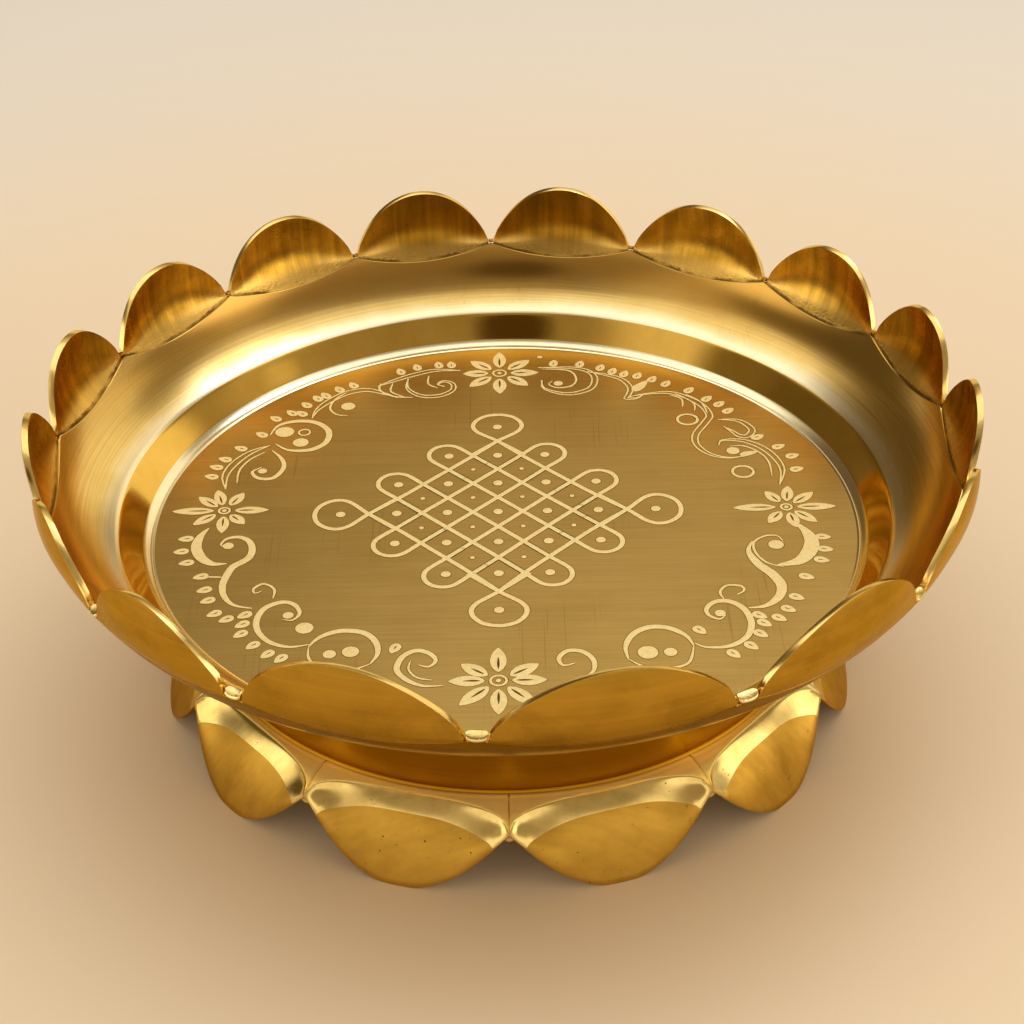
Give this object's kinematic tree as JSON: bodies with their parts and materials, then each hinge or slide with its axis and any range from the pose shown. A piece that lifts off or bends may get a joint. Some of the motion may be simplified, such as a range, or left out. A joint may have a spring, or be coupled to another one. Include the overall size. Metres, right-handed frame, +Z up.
{
  "type": "urli bowl",
  "caption": "Shallow round bowl with a rim of upright cupped petals and a petal-shaped foot; it holds water for floating flowers and lamps.",
  "frame": {"origin": "on the table under the middle of the bowl, at the height of the foot tips", "axes": "+Z up, square to the engraved floor; the pictured front, a notch of the rim above a notch of the foot, faces -Y"},
  "size_m": [0.3004, 0.2993, 0.1085],
  "materials": {
    "satin": "turned and brushed round the axis, satin, with an engraved floor",
    "amber": "satin, warmer and darker, with streaks of old polish",
    "polished": "bright polish on the shoulder and ridge, fine brushing on the petal faces",
    "braze": "pale braze, filed and polished"
  },
  "bodies": {
    "root": {"pan": "satin", "rim_petal_01": "amber", "rim_petal_02": "amber", "rim_petal_03": "amber", "rim_petal_04": "amber", "rim_petal_05": "amber", "rim_petal_06": "amber", "rim_petal_07": "amber", "rim_petal_08": "amber", "rim_petal_09": "amber", "rim_petal_10": "amber", "rim_petal_11": "amber", "rim_petal_12": "amber", "rim_petal_13": "amber", "rim_petal_14": "amber", "rim_petal_15": "amber", "rim_petal_16": "amber", "rim_notch_braze_01": "braze", "rim_notch_braze_02": "braze", "rim_notch_braze_03": "braze", "rim_notch_braze_04": "braze", "rim_notch_braze_05": "braze", "rim_notch_braze_06": "braze", "rim_notch_braze_07": "braze", "rim_notch_braze_08": "braze", "rim_notch_braze_09": "braze", "rim_notch_braze_10": "braze", "rim_notch_braze_11": "braze", "rim_notch_braze_12": "braze", "rim_notch_braze_13": "braze", "rim_notch_braze_14": "braze", "rim_notch_braze_15": "braze", "rim_notch_braze_16": "braze", "neck_collar": "amber", "neck_braze_ring": "braze", "foot_petal_01": "polished", "foot_petal_02": "polished", "foot_petal_03": "polished", "foot_petal_04": "polished", "foot_petal_05": "polished", "foot_petal_06": "polished", "foot_petal_07": "polished", "foot_petal_08": "polished", "foot_petal_09": "polished", "foot_petal_10": "polished", "foot_petal_11": "polished", "foot_petal_12": "polished", "foot_seam_braze_01": "braze", "foot_seam_braze_02": "braze", "foot_seam_braze_03": "braze", "foot_seam_braze_04": "braze", "foot_seam_braze_05": "braze", "foot_seam_braze_06": "braze", "foot_seam_braze_07": "braze", "foot_seam_braze_08": "braze", "foot_seam_braze_09": "braze", "foot_seam_braze_10": "braze", "foot_seam_braze_11": "braze", "foot_seam_braze_12": "braze"}
  },
  "joints": []
}
